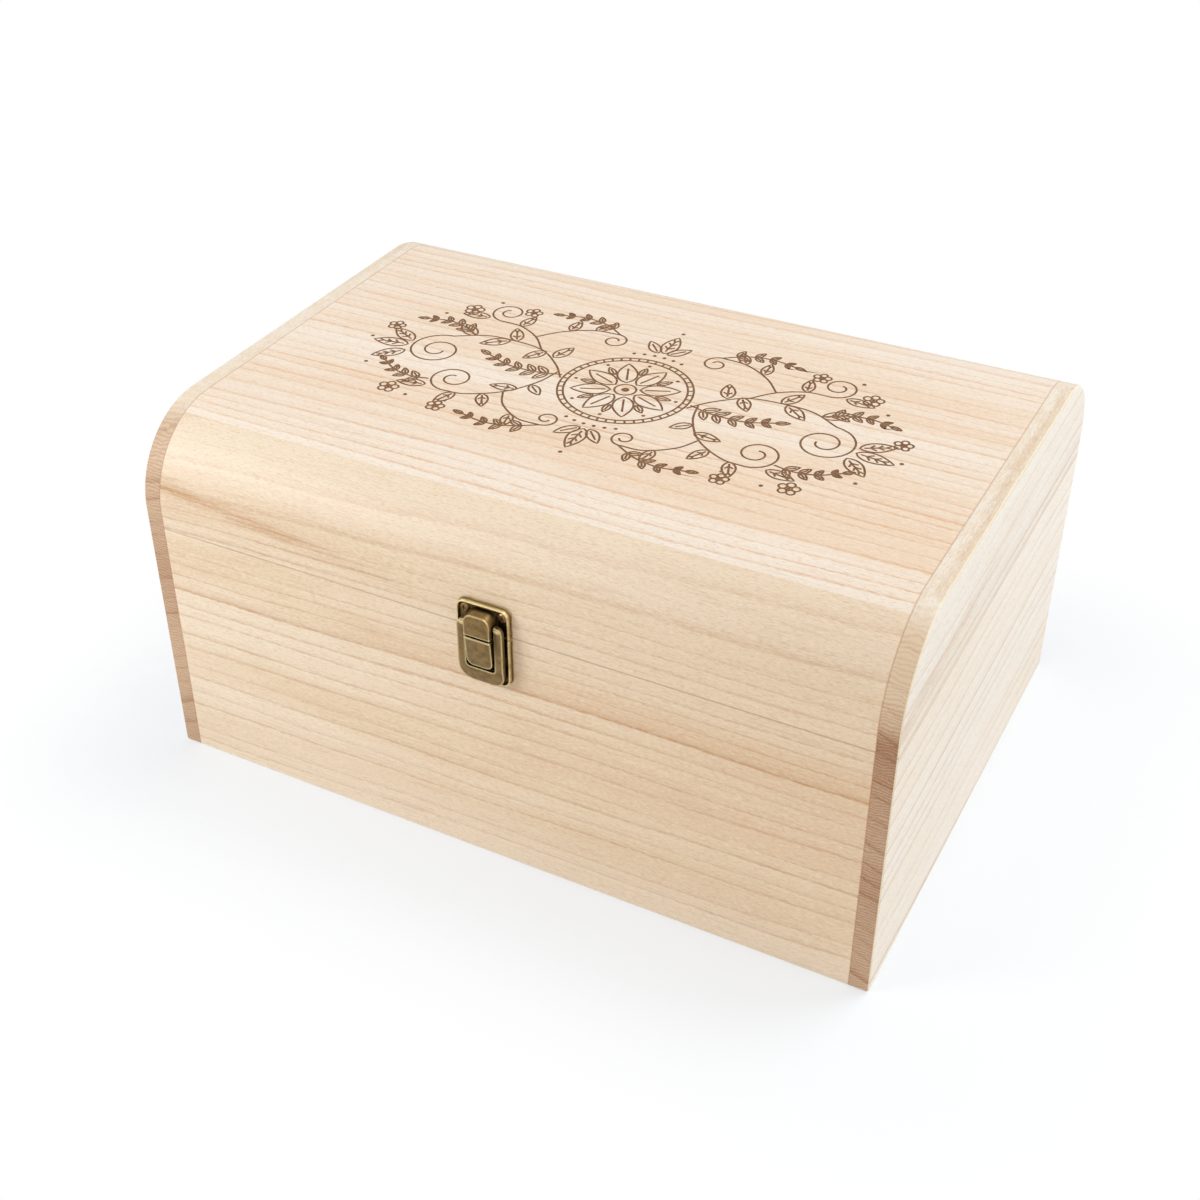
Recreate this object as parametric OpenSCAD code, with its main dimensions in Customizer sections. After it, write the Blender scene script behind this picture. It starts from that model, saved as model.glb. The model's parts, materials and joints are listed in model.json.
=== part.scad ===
// Keepsake box with a rounded lid, two stop hinges and a ring hasp on the front.
// Millimetres. The origin is the centre of the underside: X runs along the width,
// the front faces -Y and Z points up. The lid is drawn closed and the hasp fastened.

/* [Box] */
// Overall width, across both end panels
box_w = 280; // [200:1:360]
// Overall depth, front face to back face
box_d = 200; // [150:1:280]
// Overall height
box_h = 140; // [90:1:200]
// Height of the lid, from the seam to its top
lid_h = 40; // [36:1:60]
// Outer radius of the lid's two long edges
edge_r = 33; // [20:1:33]
// How far the top board reaches down over each long edge
top_overlap = 13; // [0:1:16]
// Thickness of every board except the bottom
board_t = 7; // [6.5:0.5:10]
// Thickness of the bottom panel
bottom_t = 5; // [3:0.5:8]

/* [Hasp] */
// Width of both hasp plates
plate_w = 19.9; // [19.7:0.1:26]
// Height of the plate on the lid
catch_h = 11.3; // [11.1:0.1:16]
// Height of the plate on the base
keep_h = 19.5; // [19.4:0.1:26]
// Thickness of the plates' flat field
plate_t = 1; // [0.8:0.1:1.2]
// Height of the plates' raised rim
rim_h = 2.3; // [1.6:0.1:2.4]
// Outer width of the ring
ring_w = 16.9; // [16.7:0.1:17.4]
// Width of each arm of the ring
ring_arm = 3; // [2.8:0.05:3]
// Thickness of the ring's arms
ring_t = 1.6; // [1.5:0.1:1.7]
// Width of the hood and of the tongue under it
hood_w = 9.7; // [9:0.1:9.8]
// How far the hood stands out from the front of the box
hood_out = 6.3; // [6.1:0.1:6.4]

/* [Hinges] */
// Length of each hinge
hinge_l = 25; // [20:1:40]
// Height of each hinge leaf
leaf_h = 10; // [9:0.5:14]
// Distance from the middle of each hinge to the end of the box
hinge_inset = 52; // [30:1:70]
// Angle at which the hinges stop the lid
lid_stop = 100; // [90:1:110]

/* [Hidden] */
$fn = 64;

// Box
seam_z = box_h - lid_h;             // where the lid meets the base
inner_w = box_w - 2 * board_t;      // between the end panels
inner_d = box_d - 2 * board_t;
top_half_d = box_d / 2 - edge_r + top_overlap; // from the middle to the joint with each rail
past = 1;                           // how far a cutter passes the face it cuts
sliver = 0.1;                       // thickness of the slices that a sloping wall is drawn between

// Hasp, in its own frame: x across, y up from the seam, z out from the front of the box
split_gap = 0.15;                   // from the seam to each plate's edge
plate_r = 3.2;                      // plate's corner radius
rim_slope = 0.35;                   // how far the rim's outer wall leans in
rim_crest = 0.45;                   // width of the rim's top
field_slope = 0.15;                 // how far the rim's inner wall leans in
rim_w = rim_slope + rim_crest;      // from the plate's edge to the inner edge of the rim's top
ring_back = 3;                      // back of the ring's arms
ring_top = 5.5;                     // top of the arms, above the seam
ring_bottom = -19.1;                // lower edge of the ring
ring_sill = -13.2;                  // upper edge of the bar across the ring's foot
ring_bend = -11.8;                  // where the foot starts to lean back
foot_back = 2.5;                    // back of the ring's foot at its lower edge
foot_t = 0.9;                       // thickness of the foot at its lower edge
ring_foot_r = 4.8;                  // outer corner radius at the foot
ring_top_r = 2.8;                   // outer corner radius at the top of the arms
ring_sill_r = 1.4;                  // inner corner radius at the foot
window_half = ring_w / 2 - ring_arm;
pivot_y = 4;                        // the pin that the ring turns on
pivot_z = ring_back + ring_t / 2;
ring_pin_half = window_half + 1.8;  // half the pin's length, its ends lying inside the arms
hasp_pin_r = 0.4;
eye_r = 0.95;                       // eye round the pin at the end of each arm
eye_l = 2.1;
hood_top = 9;                       // top of the hood's face, above the seam
hood_sill = 0.8;                    // lower edge of the hood, above the seam
hood_r = 3.1;                       // upper corner radius of the hood's face
hood_flare = 0.4;                   // how much wider the hood's foot is, on each side
tongue_bottom = -11.8;
tongue_r = 2.6;                     // lower corner radius of the tongue
tongue_low_out = 5;                 // how far the tongue's lower edge stands out
lip_h = 0.7;                        // raised lip along the tongue's upper edge
lip_out = 0.35;
tongue_relief = 4.3;                // radius about the pin that the tongue keeps clear of
strap_t = 0.6;                      // strap that joins the tongue to the backs of the arms
strap_half_w = 7;
strap_low = -9.2;
strap_high = -4.2;
keeper_y = -6.7;                    // stud that the strap's spring closes over
keeper_stem_r = 1.5;
keeper_stem_h = 0.7;
keeper_head_r = 2.1;
keeper_head_h = 0.4;

// Fits
fixed_gap = 0.01;                   // round a pin or screw that is held fast
running_gap = 0.05;                 // round a pin that something turns on

// Screws
screw_shank_r = 0.9;
screw_l = 5;                        // how deep a screw goes in under its plate
plate_screw_r = 1.8;                // head radius
leaf_screw_r = 1.9;
screw_head_h = 0.75;
cross_w = 0.5;                      // width of the cross recess
cross_depth = 0.45;
catch_screw_y = 7.7;                // the two screws beside the hood
catch_screw_x = plate_w / 2 - 2.8;
keep_screw_y = -15.9;               // the two screws that the ring's foot covers
keep_screw_x = 4.2;

// Hinges, in their own frame: x across, y up from the seam, z out from the back of the box
leaf_t = 0.9;
leaf_r = 2;                         // corner radius of a leaf
knuckle_r = 1.7;
hinge_pin_r = 0.8;
hinge_pin_end = 0.4;                // how far the pin shows past the knuckles
mid_knuckle_half = 5.2;             // half the length of the lid's knuckle
knuckle_gap = 0.2;
tail_l = 5.4;                       // stop tail, from the pin's centre to its tip
tail_t = 0.8;
tail_rest_gap = 0.1;                // left between the tail and the leaf when the lid is fully open
leaf_screw_x = hinge_l / 2 - 4.5;
leaf_screw_y = 6.1;
hinge_x = box_w / 2 - hinge_inset;

wood = "#E8D3B4";
end_wood = "#F0E3D2";
brass = "#8C7850";
dark_brass = "#5C4E36";

// ---- Shapes shared by several parts ----

// Everything in the children's frame is moved to the front of the box, at the seam
module at_front() {
    translate([0, -box_d / 2, seam_z]) rotate([90, 0, 0]) children();
}

// The same at the back of the box, a distance x along it
module at_back(x) {
    translate([x, box_d / 2, seam_z]) rotate([90, 0, 180]) children();
}

// Cross-section of the closed box above the seam, drawn in by inset: x is the depth, y the height
module lid_section(inset) {
    r = edge_r - inset;
    flat_half = box_d / 2 - edge_r;
    for (side = [-1, 1])
        translate([side * flat_half, box_h - edge_r]) circle(r, $fn = 128);
    translate([-flat_half, seam_z - past]) square([2 * flat_half, lid_h + past - inset]);
    translate([-flat_half - r, seam_z - past]) square([2 * (flat_half + r), lid_h - edge_r + past]);
}

// A slab of a depth-height outline, from x0 to x1 along the width
module along_width(x0, x1) {
    translate([x0, 0, 0]) rotate([90, 0, 90]) linear_extrude(x1 - x0) children();
}

// One end panel of the lid, its left face at x0
module lid_end(x0) {
    along_width(x0, x0 + board_t) intersection() {
        lid_section(0);
        translate([-box_d / 2, seam_z]) square([box_d, lid_h]);
    }
}

// The lid's shell between its end panels, kept from depth y0 to y1
module lid_shell(y0, y1) {
    along_width(-inner_w / 2, inner_w / 2) intersection() {
        difference() {
            lid_section(0);
            lid_section(board_t);
        }
        translate([y0, seam_z]) square([y1 - y0, lid_h]);
    }
}

// Rectangle with its corners rounded: lower corners by r_low, upper corners by r_high
module rounded_outline(x0, x1, y0, y1, r_low, r_high) {
    for (x = [x0 + r_low, x1 - r_low]) translate([x, y0 + r_low]) circle(r_low);
    for (x = [x0 + r_high, x1 - r_high]) translate([x, y1 - r_high]) circle(r_high);
    translate([x0, y0 + r_low]) square([x1 - x0, y1 - y0 - r_low - r_high]);
    translate([x0 + r_low, y0]) square([x1 - x0 - 2 * r_low, r_low]);
    translate([x0 + r_high, y1 - r_high]) square([x1 - x0 - 2 * r_high, r_high]);
}

// Cross-head wood screw with its head's seat at z = 0 and its head towards +z
module wood_screw(head_r) {
    difference() {
        rotate_extrude() polygon([
            [0, -screw_l], [screw_shank_r, -screw_l + 2 * screw_shank_r], [screw_shank_r, 0],
            [head_r, 0], [head_r, 0.35 * screw_head_h], [0.72 * head_r, 0.85 * screw_head_h],
            [0.3 * head_r, screw_head_h], [0, screw_head_h]
        ]);
        for (turn = [0, 90])
            rotate([0, 0, turn]) translate([-0.6 * head_r, -cross_w / 2, screw_head_h - cross_depth])
                cube([1.2 * head_r, cross_w, cross_depth + past]);
    }
}

// Hole for the shank of a screw whose head sits at z = 0
module screw_hole(depth) {
    translate([0, 0, -depth]) cylinder(h = depth + past, r = screw_shank_r + fixed_gap);
}

// Puts its children at both screws of a hasp plate, a distance x from its middle, at height y
module at_plate_screws(x, y) {
    for (side = [-1, 1]) translate([side * x, y, plate_t]) children();
}

// Puts its children at the four screws of one kind of leaf: side is 1 on the lid, -1 on the base
module at_leaf_screws(side) {
    for (hinge = [-1, 1]) at_back(hinge * hinge_x)
        for (x = [-leaf_screw_x, leaf_screw_x]) translate([x, side * leaf_screw_y, leaf_t]) children();
}

// ---- Base ----

module base_end(x0) {
    translate([x0, -box_d / 2, 0]) cube([board_t, box_d, seam_z]);
}

module base_left_end() {
    color(end_wood) base_end(-box_w / 2);
}

module base_right_end() {
    color(end_wood) base_end(inner_w / 2);
}

module base_front_board() {
    color(wood) difference() {
        translate([-inner_w / 2, -box_d / 2, 0]) cube([inner_w, board_t, seam_z]);
        at_front() at_plate_screws(keep_screw_x, keep_screw_y) screw_hole(screw_l);
    }
}

module base_back_board() {
    color(wood) difference() {
        translate([-inner_w / 2, inner_d / 2, 0]) cube([inner_w, board_t, seam_z]);
        at_leaf_screws(-1) screw_hole(screw_l);
    }
}

module base_bottom_panel() {
    color(wood) translate([-inner_w / 2, -inner_d / 2, 0]) cube([inner_w, inner_d, bottom_t]);
}

// ---- Lid ----

module lid_left_end() {
    color(end_wood) lid_end(-box_w / 2);
}

module lid_right_end() {
    color(end_wood) lid_end(inner_w / 2);
}

module lid_top_board() {
    color(wood) lid_shell(-top_half_d, top_half_d);
}

module lid_front_rail() {
    color(wood) difference() {
        lid_shell(-box_d / 2, -top_half_d);
        at_front() at_plate_screws(catch_screw_x, catch_screw_y) screw_hole(screw_l);
    }
}

module lid_back_rail() {
    color(wood) difference() {
        lid_shell(top_half_d, box_d / 2);
        at_leaf_screws(1) screw_hole(screw_l);
    }
}

// ---- Hasp ----

// Outline of both plates together, drawn in by inset
module plates_outline(inset) {
    rounded_outline(inset - plate_w / 2, plate_w / 2 - inset, inset - keep_h, catch_h - inset,
        plate_r - inset, plate_r - inset);
}

// Dished pressing with a raised rim, for both plates together
module plates_pressing() {
    difference() {
        hull() {
            linear_extrude(sliver) plates_outline(0);
            translate([0, 0, rim_h - sliver]) linear_extrude(sliver) plates_outline(rim_slope);
        }
        hull() {
            translate([0, 0, plate_t]) linear_extrude(sliver) plates_outline(rim_w + field_slope);
            translate([0, 0, rim_h]) linear_extrude(sliver) plates_outline(rim_w);
        }
    }
}

module hasp_catch_plate() {
    color(brass) at_front() difference() {
        intersection() {
            plates_pressing();
            translate([-plate_w, split_gap, 0]) cube([2 * plate_w, catch_h, rim_h]);
        }
        at_plate_screws(catch_screw_x, catch_screw_y) screw_hole(plate_t + past);
    }
}

module hasp_base_plate() {
    color(brass) at_front() difference() {
        intersection() {
            plates_pressing();
            translate([-plate_w, -keep_h, 0]) cube([2 * plate_w, keep_h - split_gap, rim_h]);
        }
        at_plate_screws(keep_screw_x, keep_screw_y) screw_hole(plate_t + past);
    }
}

// Outline of the hood: square at its sill, round at its upper corners, widened by flare
module hood_outline(flare) {
    half = hood_w / 2 + flare;
    top = hood_top + flare;
    for (side = [-1, 1]) translate([side * (half - hood_r), top - hood_r]) circle(hood_r);
    translate([-half, hood_sill]) square([2 * half, top - hood_r - hood_sill]);
    translate([hood_r - half, top - hood_r]) square([2 * (half - hood_r), hood_r]);
}

module hasp_hood() {
    color(brass) at_front() difference() {
        hull() {
            translate([0, 0, plate_t]) linear_extrude(sliver) hood_outline(hood_flare);
            translate([0, 0, hood_out - sliver]) linear_extrude(sliver) hood_outline(0);
        }
        translate([-plate_w, pivot_y, pivot_z]) rotate([0, 90, 0])
            cylinder(h = 2 * plate_w, r = hasp_pin_r + fixed_gap);
    }
}

module hasp_pin() {
    color(dark_brass) at_front() translate([-ring_pin_half, pivot_y, pivot_z]) rotate([0, 90, 0])
        cylinder(h = 2 * ring_pin_half, r = hasp_pin_r);
}

// Face of the ring: a rounded frame that is open at the top, where the hood stands
module ring_outline() {
    difference() {
        rounded_outline(-ring_w / 2, ring_w / 2, ring_bottom, ring_top, ring_foot_r, ring_top_r);
        translate([ring_sill_r - window_half, ring_sill])
            square([2 * (window_half - ring_sill_r), ring_sill_r]);
        for (side = [-1, 1])
            translate([side * (window_half - ring_sill_r), ring_sill + ring_sill_r]) circle(ring_sill_r);
        translate([-window_half, ring_sill + ring_sill_r]) square([2 * window_half, ring_top - ring_sill]);
    }
}

// Side of the ring, height against depth: straight arms, and a foot that leans back
module ring_side() {
    polygon([
        [ring_bottom, foot_back], [ring_bottom, foot_back + foot_t],
        [ring_bend, ring_back + ring_t], [ring_top, ring_back + ring_t],
        [ring_top, ring_back], [ring_bend, ring_back]
    ]);
}

// A height-depth outline of the hasp, extruded from x0 to x1
module across_hasp(x0, x1) {
    translate([x0, 0, 0]) rotate([90, 0, 90]) linear_extrude(x1 - x0) children();
}

module hasp_ring() {
    color(brass) at_front() difference() {
        union() {
            intersection() {
                linear_extrude(hood_out) ring_outline();
                across_hasp(-plate_w, plate_w) ring_side();
            }
            for (x = [-window_half - eye_l, window_half])
                across_hasp(x, x + eye_l) translate([pivot_y, pivot_z]) circle(eye_r);
        }
        translate([-ring_pin_half - running_gap, pivot_y, pivot_z]) rotate([0, 90, 0])
            cylinder(h = 2 * (ring_pin_half + running_gap), r = hasp_pin_r + running_gap);
    }
}

// Side of the tongue: a lip along the top, a face that slopes back to its lower edge
module tongue_side() {
    polygon([
        [tongue_bottom, ring_back], [tongue_bottom, tongue_low_out],
        [-lip_h, hood_out - lip_out], [-lip_h, hood_out], [0, hood_out], [0, ring_back]
    ]);
}

module hasp_tongue() {
    color(brass) at_front() {
        difference() {
            intersection() {
                linear_extrude(hood_out)
                    rounded_outline(-hood_w / 2, hood_w / 2, tongue_bottom, 0, tongue_r, 0.3);
                across_hasp(-plate_w, plate_w) tongue_side();
            }
            translate([-plate_w, pivot_y, pivot_z]) rotate([0, 90, 0])
                cylinder(h = 2 * plate_w, r = tongue_relief);
        }
        translate([-strap_half_w, strap_low, ring_back - strap_t])
            cube([2 * strap_half_w, strap_high - strap_low, strap_t]);
    }
}

module hasp_keeper() {
    color(dark_brass) at_front() translate([0, keeper_y, plate_t]) {
        cylinder(h = keeper_stem_h, r = keeper_stem_r);
        translate([0, 0, keeper_stem_h]) cylinder(h = keeper_head_h, r = keeper_head_r);
    }
}

module hasp_catch_screws() {
    color(dark_brass) at_front() at_plate_screws(catch_screw_x, catch_screw_y) wood_screw(plate_screw_r);
}

module hasp_base_screws() {
    color(dark_brass) at_front() at_plate_screws(keep_screw_x, keep_screw_y) wood_screw(plate_screw_r);
}

// ---- Hinges ----

// A leaf's flat part, from the pin's line to its far edge, pointing up
module leaf_flat() {
    linear_extrude(leaf_t) difference() {
        rounded_outline(-hinge_l / 2, hinge_l / 2, 0, leaf_h, 0.2, leaf_r);
        for (x = [-leaf_screw_x, leaf_screw_x])
            translate([x, leaf_screw_y]) circle(screw_shank_r + fixed_gap);
    }
}

// A cylinder round the pin's line, from x0 to x1
module round_pin(x0, x1, r) {
    translate([x0, 0, knuckle_r]) rotate([0, 90, 0]) cylinder(h = x1 - x0, r = r);
}

// Room for the other leaf's knuckle, from x0 to x1
module knuckle_room(x0, x1) {
    round_pin(x0, x1, knuckle_r + knuckle_gap);
    translate([x0, -knuckle_r - knuckle_gap, -past])
        cube([x1 - x0, 2 * (knuckle_r + knuckle_gap), knuckle_r + past]);
}

// Tail on the lid's knuckle: it lies on the base leaf once the lid has turned to lid_stop
module stop_tail() {
    translate([0, 0, knuckle_r]) rotate([-lid_stop, 0, 0])
        translate([-mid_knuckle_half, -tail_l, leaf_t + tail_rest_gap - knuckle_r])
            cube([2 * mid_knuckle_half, tail_l, tail_t]);
}

module hinge_base_leaf(x) {
    clear_half = mid_knuckle_half + knuckle_gap;
    color(brass) at_back(x) difference() {
        union() {
            mirror([0, 1, 0]) leaf_flat();
            round_pin(-hinge_l / 2, -clear_half, knuckle_r);
            round_pin(clear_half, hinge_l / 2, knuckle_r);
        }
        knuckle_room(-clear_half, clear_half);
        round_pin(-hinge_l, hinge_l, hinge_pin_r + fixed_gap);
    }
}

module hinge_lid_leaf(x) {
    clear_half = mid_knuckle_half + knuckle_gap / 2;
    color(brass) at_back(x) difference() {
        union() {
            leaf_flat();
            round_pin(-mid_knuckle_half, mid_knuckle_half, knuckle_r);
            stop_tail();
        }
        knuckle_room(-hinge_l, -clear_half);
        knuckle_room(clear_half, hinge_l);
        round_pin(-hinge_l, hinge_l, hinge_pin_r + running_gap);
    }
}

module hinge_pin(x) {
    pin_half = hinge_l / 2 + hinge_pin_end;
    color(dark_brass) at_back(x) round_pin(-pin_half, pin_half, hinge_pin_r);
}

module left_hinge_base_leaf() {
    hinge_base_leaf(-hinge_x);
}

module left_hinge_lid_leaf() {
    hinge_lid_leaf(-hinge_x);
}

module left_hinge_pin() {
    hinge_pin(-hinge_x);
}

module right_hinge_base_leaf() {
    hinge_base_leaf(hinge_x);
}

module right_hinge_lid_leaf() {
    hinge_lid_leaf(hinge_x);
}

module right_hinge_pin() {
    hinge_pin(hinge_x);
}

module hinge_base_screws() {
    color(dark_brass) at_leaf_screws(-1) wood_screw(leaf_screw_r);
}

module hinge_lid_screws() {
    color(dark_brass) at_leaf_screws(1) wood_screw(leaf_screw_r);
}

base_left_end();
base_right_end();
base_front_board();
base_back_board();
base_bottom_panel();
lid_left_end();
lid_right_end();
lid_top_board();
lid_front_rail();
lid_back_rail();
hasp_catch_plate();
hasp_hood();
hasp_pin();
hasp_catch_screws();
hasp_ring();
hasp_tongue();
hasp_base_plate();
hasp_keeper();
hasp_base_screws();
left_hinge_base_leaf();
left_hinge_lid_leaf();
left_hinge_pin();
right_hinge_base_leaf();
right_hinge_lid_leaf();
right_hinge_pin();
hinge_base_screws();
hinge_lid_screws();
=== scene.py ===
import bpy
import json
import math
from mathutils import Matrix, Vector

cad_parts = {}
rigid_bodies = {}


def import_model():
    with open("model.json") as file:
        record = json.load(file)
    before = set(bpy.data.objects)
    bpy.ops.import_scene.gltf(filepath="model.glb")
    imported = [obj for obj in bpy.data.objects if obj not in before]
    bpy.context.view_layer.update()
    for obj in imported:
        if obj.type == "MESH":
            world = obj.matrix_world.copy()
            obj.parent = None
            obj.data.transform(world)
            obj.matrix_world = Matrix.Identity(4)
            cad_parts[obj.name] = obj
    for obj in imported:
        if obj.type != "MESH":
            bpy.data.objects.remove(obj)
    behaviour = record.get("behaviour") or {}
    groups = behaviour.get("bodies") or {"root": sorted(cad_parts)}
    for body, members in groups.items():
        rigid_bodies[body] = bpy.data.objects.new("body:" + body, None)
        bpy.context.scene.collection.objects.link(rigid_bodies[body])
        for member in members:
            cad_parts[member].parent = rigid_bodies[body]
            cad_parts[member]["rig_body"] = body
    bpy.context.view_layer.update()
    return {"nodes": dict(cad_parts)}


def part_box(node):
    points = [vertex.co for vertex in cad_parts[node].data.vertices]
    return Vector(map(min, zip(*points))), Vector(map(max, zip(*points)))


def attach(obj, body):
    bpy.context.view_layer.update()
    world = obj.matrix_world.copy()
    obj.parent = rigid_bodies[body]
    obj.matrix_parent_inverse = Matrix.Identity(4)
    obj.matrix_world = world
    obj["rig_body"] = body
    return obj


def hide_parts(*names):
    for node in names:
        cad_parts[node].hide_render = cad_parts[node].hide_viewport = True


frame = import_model()
print("frame loaded:", len(frame["nodes"]), "nodes")

mm = 0.001  # sizes below are in millimetres


def hexColor(text):
    # sRGB hex to the linear RGBA that sockets take
    parts = [int(text[i:i + 2], 16) / 255 for i in (1, 3, 5)]
    return tuple(p / 12.92 if p <= 0.04045 else ((p + 0.055) / 1.055) ** 2.4 for p in parts) + (1.0,)


def addNode(tree, kind, inputs=None, output=0, **settings):
    # inputs maps a socket's name or number to a value, a hex colour or the socket that feeds it;
    # returns the socket that the output names
    node = tree.nodes.new("ShaderNode" + kind)
    for key, value in settings.items():
        setattr(node, key, value)
    for key, value in (inputs or {}).items():
        if isinstance(value, bpy.types.NodeSocket):
            tree.links.new(value, node.inputs[key])
        else:
            node.inputs[key].default_value = hexColor(value) if isinstance(value, str) else value
    return node.outputs[output] if len(node.outputs) else None


def setRamp(socket, stops):
    # stops: (position, grey level or hex) for the colour ramp that the socket belongs to
    ramp = socket.node.color_ramp
    while len(ramp.elements) > 1:
        ramp.elements.remove(ramp.elements[0])
    for i, (position, value) in enumerate(stops):
        element = ramp.elements[0] if i == 0 else ramp.elements.new(position)
        element.position = position
        element.color = hexColor(value) if isinstance(value, str) else (value, value, value, 1)
    return socket


def newMaterial(name):
    material = bpy.data.materials.new(name)
    material.use_nodes = True
    material.node_tree.nodes.clear()
    return material, material.node_tree


def deselectAll():
    if bpy.context.mode != "OBJECT":
        bpy.ops.object.mode_set(mode="OBJECT")
    bpy.ops.object.select_all(action="DESELECT")


def makeActive(piece):
    deselectAll()
    piece.select_set(True)
    bpy.context.view_layer.objects.active = piece


def addBlock(name, low, high):
    # a block between two corners, with its place in its mesh
    deselectAll()
    middle = [(a + b) / 2 * mm for a, b in zip(low, high)]
    size = [(b - a) * mm for a, b in zip(low, high)]
    bpy.ops.mesh.primitive_cube_add(size=1, location=middle, scale=size)
    piece = bpy.context.object
    bpy.ops.object.transform_apply(location=True, rotation=True, scale=True)
    piece.name = name
    return piece


def selectParts(piece, wanted, kind="EDGE"):
    # selects the edges or faces whose every corner, in millimetres, passes the test
    makeActive(piece)
    mesh = piece.data
    bpy.context.tool_settings.mesh_select_mode = (False, kind == "EDGE", kind == "FACE")
    for part in (*mesh.vertices, *mesh.edges, *mesh.polygons):
        part.select = False
    for part in mesh.edges if kind == "EDGE" else mesh.polygons:
        part.select = wanted([mesh.vertices[i].co / mm for i in part.vertices])
    bpy.ops.object.mode_set(mode="EDIT")


def near(value, target):
    return abs(value - target) < 0.01


def lies(corners, x=None, y=None, z=None):
    # whether all corners lie on the given planes
    return all(p is None or near(c[axis], p) for c in corners for axis, p in enumerate((x, y, z)))


def bevelEdges(piece, radius, segments, wanted):
    selectParts(piece, wanted)
    bpy.ops.mesh.bevel(offset=radius * mm, offset_type="OFFSET", segments=segments, profile=0.5,
                       affect="EDGES")
    bpy.ops.object.mode_set(mode="OBJECT")


def applyModifier(piece, kind, **settings):
    makeActive(piece)
    modifier = piece.modifiers.new(kind.title(), kind)
    for key, value in settings.items():
        setattr(modifier, key, value)
    bpy.ops.object.modifier_apply(modifier=modifier.name)


def smoothByAngle(piece, degrees=35):
    makeActive(piece)
    bpy.ops.object.shade_smooth_by_angle(angle=math.radians(degrees))


def finishPiece(piece, node, material):
    # the piece stands for its CAD node, which it hides, and moves with that node's body; without
    # a material it keeps its own
    if material:
        piece.data.materials.clear()
        piece.data.materials.append(material)
    body = frame["nodes"][node]["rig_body"]
    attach(piece, body)
    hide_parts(node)
    deselectAll()


def boxOf(node):
    # low and high corner of a CAD node, in millimetres
    low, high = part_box(node)
    return low / mm, high / mm


# measures that the pieces are fitted to
endLow, endHigh = boxOf("base_left_end")
boardLow, boardHigh = boxOf("base_front_board")
halfWidth = -endLow.x                  # outer faces of the end panels
halfInner = boardHigh.x                # their inner faces, where the boards are glued on
halfDepth = endHigh.y
boardThickness = boardHigh.y - boardLow.y
seamZ = endHigh.z
topZ = boxOf("lid_left_end")[1].z
jointY = boxOf("lid_top_board")[1].y   # joint between the top board and each rail
panelHigh = boxOf("base_bottom_panel")[1]
halfInnerDepth = panelHigh.y

paulownia = {
    "pale": "#F2E3CE",         # early wood
    "warm": "#E6CBAA",         # broad warmer streaks
    "line": "#C28640",         # late wood lines
    "pore": "#BF966E",         # fine pores along the grain
    "fleck": "#FBF1E2",        # light fibres between them
    "endPale": "#E3C8A8",      # end grain between the rings
    "endDark": "#9C6B45",      # end grain in the rings
    "glue": "#AC6A40",         # glue line between a board and an end panel
    "seam": "#8A684C",         # painted shade of the gap, at the arrises where the lid meets the base
    "ringSpacing": 5.6,        # a year's growth
    "ringStrength": 0.72,
    "ringLeast": 0.42,         # the same where the rings fade
    "unevenness": 1.1,         # how much one year's growth differs from the next
    "frayDepth": 0.9,          # how far the two jitters push a ring
    "fuzzDepth": 1.3,
    "warmth": 0.55,            # strength of the broad streaks
    "drift": 0,                # painted shade: how much warmer and darker the board is at its right end, away from the left light
    "edge": "#E5CBA6",         # the end panels' narrow faces, round their outline
    "edgeShare": 0,
    "arris": "#FFF0CC",        # painted highlight along the outer arrises of the end panels
    "arrisHighlightShare": 0,
    "lean": 0.012,             # rise of the rings along the grain
    "wander": 5,               # their slow bends, and how long and how wide those are
    "bendSize": (210, 46, 46),
    "windRadius": 30,          # where the space that is wound round the pith is to scale
    "roughness": 0.5,
    "poreShare": 0.36,         # strength of the pores, the flecks, the fibres, the dark glue line and the painted seam shade
    "fleckShare": 0.35,
    "fibreShare": 0.14,
    "glueShare": 0.42,
    "seamShadeShare": 0.5,
    "reliefDepth": 0.05,       # bump of the pores and the lines
    "curlWave": 1.16,          # from wave to wave across the curly end grain
    "curlDepth": 0.24,
    # stops through a year, from ring to ring: its line's core, the glow behind it, a third's own line
    "core": ((0, 0.7), (0.06, 0.62), (0.13, 0.24), (0.24, 0), (0.94, 0), (1, 0.7)),
    "glow": ((0, 0.38), (0.18, 0.2), (0.55, 0.06), (0.95, 0), (1, 0.38)),
    "third": ((0, 0.17), (0.16, 0.13), (0.4, 0), (0.95, 0), (1, 0.17)),
    # stops up the box's height: strength of the lines and of the warm tones, brown of the end grain
    "lineShade": ((0, 1), (1, 1)),
    "toneShade": ((0, 1), (1, 1)),
    "endShade": ((0, 0.35), (0.5, 0.5), (1, 0.35)),
    # noises that follow the rings, and the fibres' own: length along the grain and width across it,
    # detail, roughness and twist
    "ringNoises": {
        "fray": (46, 2.4, 2, 0.5, 0),
        "fade": (150, 9, 2, 0.5, 0),
        "streak": (300, 17, 3, 0.55, 0),
    },
    "fibreNoises": {
        "fuzz": (3, 0.5, 2, 0.7, 0),
        "dash": (7, 0.7, 2, 0.6, 0),
        "fibre": (22, 0.8, 3, 0.6, 0),
        "speck": (1.9, 0.34, 2, 0.7, 0),
        "curl": (1.3, 0.6, 2, 0.55, 2.6),
    },
    # a broad brown stain along the grain: its two ends (along, height), half its width, its strength
    "stain": ((0, 0), (1, 0), 1, 0),
    "stainFray": 6,            # how ragged its sides are
}


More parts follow.
